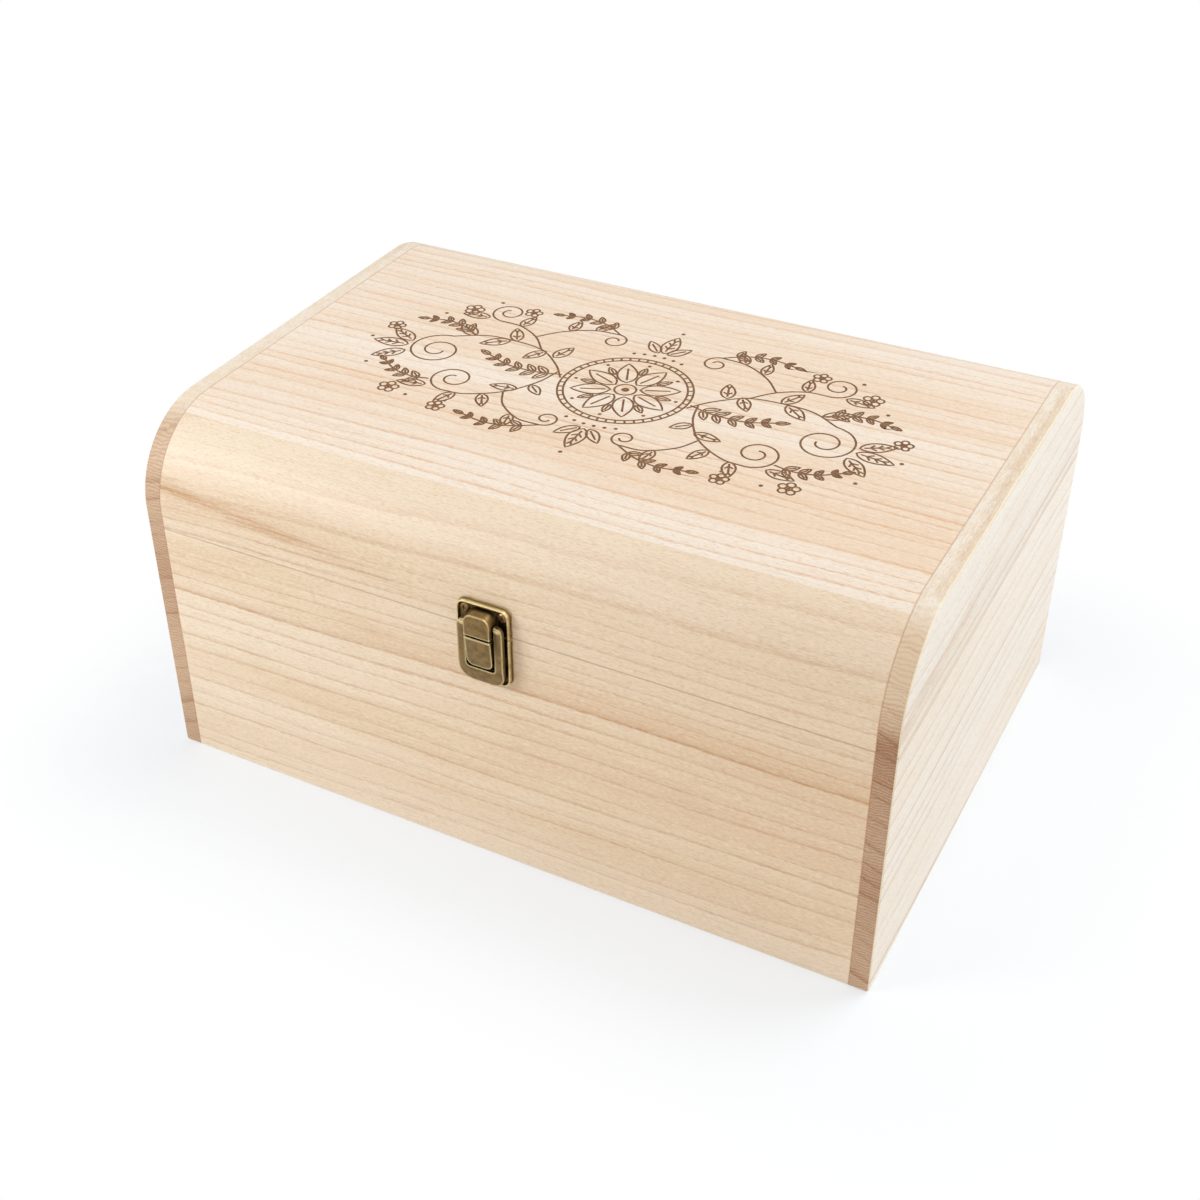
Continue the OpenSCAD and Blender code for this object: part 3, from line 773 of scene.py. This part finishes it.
def makeCutters(material):
    # all strokes and dots of the design as round cutters, in a collection of their own
    cutters = bpy.data.collections.new("cutters")
    bpy.context.scene.collection.children.link(cutters)
    strokes, dots = drawDesign()
    made = [addCutter(cutters, points, closed) for points, closed in strokes]
    deselectAll()
    for cutter in made:
        cutter.select_set(True)
    bpy.context.view_layer.objects.active = made[0]
    bpy.ops.object.convert(target="MESH")
    bpy.ops.object.mode_set(mode="EDIT")    # all cutters at once: join their end caps on
    bpy.ops.mesh.select_all(action="SELECT")
    bpy.ops.mesh.remove_doubles(threshold=0.001 * mm)
    bpy.ops.mesh.normals_make_consistent(inside=False)
    bpy.ops.object.mode_set(mode="OBJECT")
    for point, radius in dots:
        deselectAll()
        bpy.ops.mesh.primitive_ico_sphere_add(subdivisions=3, radius=engraving["dotGrowth"] * radius * mm,
                                              location=onBoard(point, engraving["dotRise"] * radius))
        dot = bpy.context.object
        bpy.ops.object.transform_apply(location=True, rotation=True, scale=True)
        for collection in dot.users_collection:
            collection.objects.unlink(dot)
        cutters.objects.link(dot)
    for cutter in cutters.objects:
        cutter.data.materials.clear()
        cutter.data.materials.append(material)
    return cutters


def cutGrid(board):
    # a grid of cuts, so that the engraving meets small faces only
    makeActive(board)
    bpy.ops.object.mode_set(mode="EDIT")
    for axis, reach in ((0, halfInner), (1, jointY)):
        count = int(2 * reach / engraving["gridStep"])
        for i in range(1, count):
            place = [0, 0, 0]
            place[axis] = (i * 2 / count - 1) * reach * mm
            bpy.ops.mesh.select_all(action="SELECT")
            bpy.ops.mesh.bisect(plane_co=place, plane_no=[float(a == axis) for a in range(3)])
    bpy.ops.object.mode_set(mode="OBJECT")


def makeTopBoard():
    board = makeLidShell("lidTopBoard")
    sawAt(board, jointY, -1)
    sawAt(board, -jointY, 1)
    board.data.materials.append(topWood)
    cutGrid(board)
    cutters = makeCutters(makeBurntWood())
    applyModifier(board, "BOOLEAN", operand_type="COLLECTION", collection=cutters,
                  operation="DIFFERENCE", solver="MANIFOLD", material_mode="TRANSFER")
    for cutter in list(cutters.objects):
        bpy.data.objects.remove(cutter)
    bpy.data.collections.remove(cutters)
    smoothByAngle(board)
    finishPiece(board, "lid_top_board", None)


makeTopBoard()
print("engraved top made")

brassLook = {
    "face": "#8D7349",        # cast face, as plated and lacquered
    "worn": "#EBD7A4",        # rubbed edges
    "patina": "#33281C",      # dark wash that stays in the hollows
    "patinaCover": 0.38,      # how much of it stays on the open faces
    "roughness": 0.36,
    "grainSize": 0.45,        # cast skin, and how much wash sits in its pits
    "grainCover": 0.34,
    "blotchSize": 2.4,        # patches of the wash
    "hollowReach": 2.4,       # how near a wall makes a hollow, and how much wash sits there; other pieces' walls count too, which adds painted shade
    "hollowCover": 0.95,
    "arrisReach": 0.8,        # how far the wear reaches from an arris
}


def makeBrass(name, **changes):
    # Antique brass: die-cast and plated, dipped in a dark wash and rubbed back, so that the hollows
    # stay nearly black, the faces are olive brown and the arrises shine through
    look = {**brassLook, **changes}
    material, tree = newMaterial(name)
    place = addNode(tree, "TexCoord", output="Object")
    inMm = addNode(tree, "VectorMath", {0: place, "Scale": 1 / mm}, operation="SCALE")
    skin = addNode(tree, "TexNoise", {"Vector": inMm, "Scale": 1 / look["grainSize"], "Detail": 3})
    blotch = addNode(tree, "TexNoise", {"Vector": inMm, "Scale": 1 / look["blotchSize"], "Detail": 3})
    # the wash in the casting's hollows, and painted shade where other pieces stand near, which this also
    # finds
    hollow = addNode(tree, "AmbientOcclusion", {"Distance": look["hollowReach"] * mm}, "AO", samples=6)
    arris = addNode(tree, "AmbientOcclusion", {"Distance": look["arrisReach"] * mm}, "AO", samples=6,
                    inside=True)
    rubbed = addNode(tree, "MapRange", {0: blotch, 1: 0.3, 2: 0.55, 3: 0.5, 4: 1})
    wear = addNode(tree, "MapRange", {0: arris, 1: 0.9, 2: 0.55})
    wear = addNode(tree, "Math", {0: wear, 1: rubbed}, operation="MULTIPLY", use_clamp=True)

    # (tint, what drives it, from and to, how much of the tint at the end)
    color = addNode(tree, "RGB")
    color.default_value = hexColor(look["face"])
    for tint, driver, low, high, most in ((look["patina"], blotch, 0.42, 0.68, look["patinaCover"]),
                                          (look["patina"], skin, 0.5, 0.78, look["grainCover"]),
                                          # wash in the hollows, and painted shade beside other parts
                                          (look["patina"], hollow, 0.9, 0.4, look["hollowCover"]),
                                          (look["worn"], wear, 0, 1, 1)):
        amount = addNode(tree, "MapRange", {0: driver, 1: low, 2: high, 4: most})
        color = addNode(tree, "Mix", {0: amount, 6: color, 7: tint}, 2, data_type="RGBA")

    roughness = addNode(tree, "MapRange", {0: skin, 1: 0.3, 2: 0.7, 3: look["roughness"] - 0.06,
                                           4: look["roughness"] + 0.12})
    bump = addNode(tree, "Bump", {"Height": skin, "Strength": 0.3, "Distance": 0.05 * mm})
    shader = addNode(tree, "BsdfPrincipled", {"Base Color": color, "Metallic": 1.0,
                                              "Roughness": roughness, "Normal": bump})
    addNode(tree, "OutputMaterial", {"Surface": shader})
    return material


hardwareBrass = makeBrass("antique brass")
pinBrass = makeBrass("dark pin brass", face="#6E5B3C", worn="#B59C68")
screwBrass = makeBrass("screw brass", face="#5C4832", worn="#94784F", patinaCover=0.7)

# (material, slot, the radius that each node's arrises are rounded to)
hardware = (
    (hardwareBrass, "antique_brass", {
        "hasp_catch_plate": 0.22,
        "hasp_hood": 0.5,
        "hasp_ring": 0.5,
        "hasp_tongue": 0.3,
        "hasp_base_plate": 0.22,
        "hasp_keeper": 0.1,
        "left_hinge_base_leaf": 0.2,
        "left_hinge_lid_leaf": 0.2,
        "right_hinge_base_leaf": 0.2,
        "right_hinge_lid_leaf": 0.2,
    }),
    (pinBrass, "pin_brass", {
        "hasp_pin": 0.12,
        "left_hinge_pin": 0.2,
        "right_hinge_pin": 0.2,
    }),
    (screwBrass, "screw_brass", {
        "hasp_catch_screws": 0.06,
        "hasp_base_screws": 0.06,
        "hinge_base_screws": 0.06,
        "hinge_lid_screws": 0.06,
    }),
)


easing = {
    "segments": 3,
    "sharpFrom": 32,         # angle from which an arris is rounded
    "smoothTo": 40,          # angle up to which neighbouring faces shade as one
    "weld": 0.002,           # corners nearer than this are joined
    "level": 0.5,            # faces closer to level than this angle are joined
}


def easedCopy(node, radius):
    # a copy of a CAD node, its triangles joined up and its arrises rounded
    deselectAll()
    source = frame["nodes"][node]
    piece = bpy.data.objects.new(node + "Eased", source.data.copy())
    bpy.context.scene.collection.objects.link(piece)
    makeActive(piece)
    bpy.ops.object.mode_set(mode="EDIT")
    bpy.ops.mesh.select_all(action="SELECT")
    bpy.ops.mesh.remove_doubles(threshold=easing["weld"] * mm)
    bpy.ops.mesh.dissolve_limited(angle_limit=math.radians(easing["level"]))
    bpy.ops.object.mode_set(mode="OBJECT")
    applyModifier(piece, "BEVEL", width=radius * mm, segments=easing["segments"], limit_method="ANGLE",
                  angle_limit=math.radians(easing["sharpFrom"]), use_clamp_overlap=True)
    smoothByAngle(piece, easing["smoothTo"])
    return piece


for material, slotName, nodes in hardware:
    for node, radius in nodes.items():
        finishPiece(easedCopy(node, radius), node, material)
print("brass pieces made")

studio = {
    "floorReach": 6,          # metres of table on each side
    "underBox": 4,            # how far the opening under the box stays inside its outline
    "selfWhite": 0.5,         # share of self-white next to the box
    "shadowReach": 90,        # from this far off the floor is all self-white to the camera
    "shadowTint": "#F1F8FF",  # what the floor's own paint shows of the light there
    "worldLevel": 0.47,
    # softboxes: place, aim and size in metres, and power
    "overhead": ((0.6, 0.7, 1.3), (0, 0, 0.1), 1.0, 9.5),
    "left": ((-0.62, -0.6, 0.52), (-0.12, -0.1, 0.08), 0.45, 3.8),
    "right": ((1.5, -0.2, 0.9), (0.14, 0, 0.06), 1.1, 5.5),
}


def seenRays(tree):
    # 1 for the rays that the camera sees, straight, mirrored or through glass
    camera = addNode(tree, "LightPath", output="Is Camera Ray")
    glossy = addNode(tree, "LightPath", output="Is Glossy Ray")
    through = addNode(tree, "LightPath", output="Is Transmission Ray")
    seen = addNode(tree, "Math", {0: camera, 1: glossy}, operation="MAXIMUM")
    return addNode(tree, "Math", {0: seen, 1: through}, operation="MAXIMUM")


def makeFloor():
    # seamless white table: mostly self-white to the camera, and it still takes the box's shadow;
    # it's open under the box, so that the underside can be seen and lit from below
    deselectAll()
    bpy.ops.mesh.primitive_plane_add(size=1)
    floor = bpy.context.object
    floor.name = "floor"
    border = studio["floorReach"]
    opening = [2 * (half - studio["underBox"]) * mm for half in (halfWidth, halfDepth)]
    floor.scale = (opening[0] + 2 * border, opening[1] + 2 * border, 1)
    bpy.ops.object.transform_apply(scale=True)
    bpy.ops.object.mode_set(mode="EDIT")
    bpy.ops.mesh.select_mode(type="FACE")
    bpy.ops.mesh.select_all(action="SELECT")
    bpy.ops.mesh.inset(thickness=border)    # leaves the part under the box selected
    bpy.ops.mesh.delete(type="FACE")
    bpy.ops.object.mode_set(mode="OBJECT")
    material, tree = newMaterial("white table")
    shown = seenRays(tree)
    white = addNode(tree, "Emission", {"Color": "#FFFFFF", "Strength": 1.0})
    cooler = addNode(tree, "Mix", {0: shown, 6: "#FFFFFF", 7: studio["shadowTint"]}, 2, data_type="RGBA")
    paint = addNode(tree, "BsdfDiffuse", {"Color": cooler})
    # the light falls off away from the box, and the self-white takes over there
    place = addNode(tree, "TexCoord", output="Object")
    outside = addNode(tree, "VectorMath", {0: place}, operation="ABSOLUTE")
    outline = (halfWidth * mm, halfDepth * mm, 0)
    outside = addNode(tree, "VectorMath", {0: outside, 1: outline}, operation="SUBTRACT")
    outside = addNode(tree, "VectorMath", {0: outside, 1: (0, 0, 0)}, operation="MAXIMUM")
    away = addNode(tree, "VectorMath", {0: outside}, "Value", operation="LENGTH")
    share = addNode(tree, "MapRange", {0: away, 2: studio["shadowReach"] * mm, 3: studio["selfWhite"]},
                    interpolation_type="SMOOTHSTEP")
    share = addNode(tree, "Math", {0: shown, 1: share}, operation="MULTIPLY")
    both = addNode(tree, "MixShader", {0: share, 1: paint, 2: white})
    addNode(tree, "OutputMaterial", {"Surface": both})
    floor.data.materials.append(material)


def makeWorld():
    world = bpy.data.worlds.new("studio")
    bpy.context.scene.world = world
    world.use_nodes = True
    tree = world.node_tree
    tree.nodes.clear()
    light = addNode(tree, "Background", {"Color": "#FFFFFF", "Strength": studio["worldLevel"]})
    white = addNode(tree, "Background", {"Color": "#FFFFFF", "Strength": 1.0})
    both = addNode(tree, "MixShader", {0: seenRays(tree), 1: light, 2: white})
    addNode(tree, "OutputWorld", {"Surface": both})


def addSoftLight(name, place, target, size, power):
    deselectAll()
    bpy.ops.object.light_add(type="AREA", location=place)
    lamp = bpy.context.object
    lamp.name = name
    lamp.data.shape = "DISK"
    lamp.data.size = size
    lamp.data.energy = power
    aim = Vector(target) - Vector(place)
    lamp.rotation_euler = aim.to_track_quat("-Z", "Y").to_euler()


# the photograph's view, fitted to the box's corners: metres, degrees, and millimetres for the lens
view = {
    "place": (0.24257, -0.48771, 0.43409),
    "yaw": 29.406,
    "down": 35.235,
    "roll": -1.226,
    "lens": 52.18,
    "shift": 50 / 1200,      # share of the picture's width
}


def makeCamera():
    deselectAll()
    bpy.ops.object.camera_add(location=view["place"])
    camera = bpy.context.object
    turned = (Matrix.Rotation(math.radians(view["yaw"]), 4, "Z")
              @ Matrix.Rotation(math.radians(90 - view["down"]), 4, "X")
              @ Matrix.Rotation(math.radians(view["roll"]), 4, "Z"))
    camera.rotation_euler = turned.to_euler()
    camera.data.sensor_width = 36
    camera.data.lens = view["lens"]
    camera.data.shift_x = view["shift"]
    camera.data.clip_start = 0.01
    bpy.context.scene.camera = camera


makeFloor()
makeWorld()
for name in ("overhead", "left", "right"):
    addSoftLight(name, *studio[name])
makeCamera()
bpy.context.scene.view_settings.view_transform = "Standard"
print("studio made")
